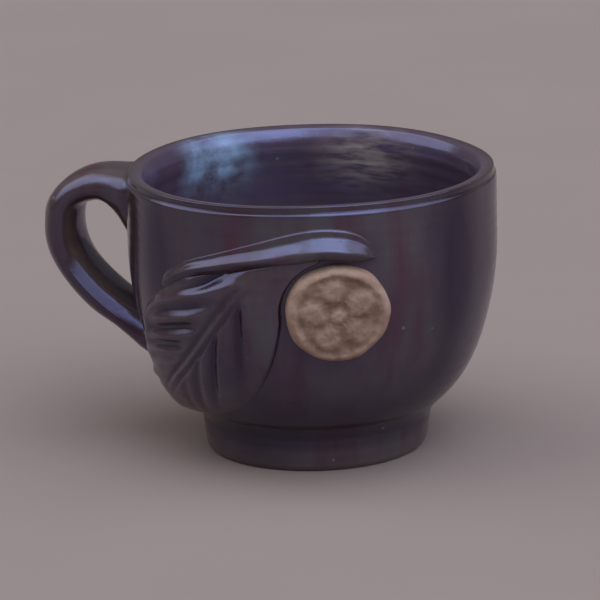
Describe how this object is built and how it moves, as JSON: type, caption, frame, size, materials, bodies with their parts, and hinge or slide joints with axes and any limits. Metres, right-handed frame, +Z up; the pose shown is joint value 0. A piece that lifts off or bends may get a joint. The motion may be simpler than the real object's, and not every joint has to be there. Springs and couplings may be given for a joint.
{
  "type": "liqueur cup",
  "caption": "Small dark-glazed stoneware cup on a foot ring, with a strap handle and a raised leaf, stem and bare clay medallion on its front; for drinking liqueur.",
  "frame": {"origin": "centre of the foot ring, on the table", "axes": "+Z up along the bowl's axis, -X towards the handle, -Y towards the decorated front"},
  "size_m": [0.0813, 0.069, 0.0512],
  "materials": {
    "glaze": "gloss",
    "bare_clay": "matte"
  },
  "bodies": {
    "root": {"bowl": "glaze", "foot_ring": "glaze", "handle": "glaze", "leaf": "glaze", "stem": "glaze", "medallion": "bare_clay"}
  },
  "joints": []
}
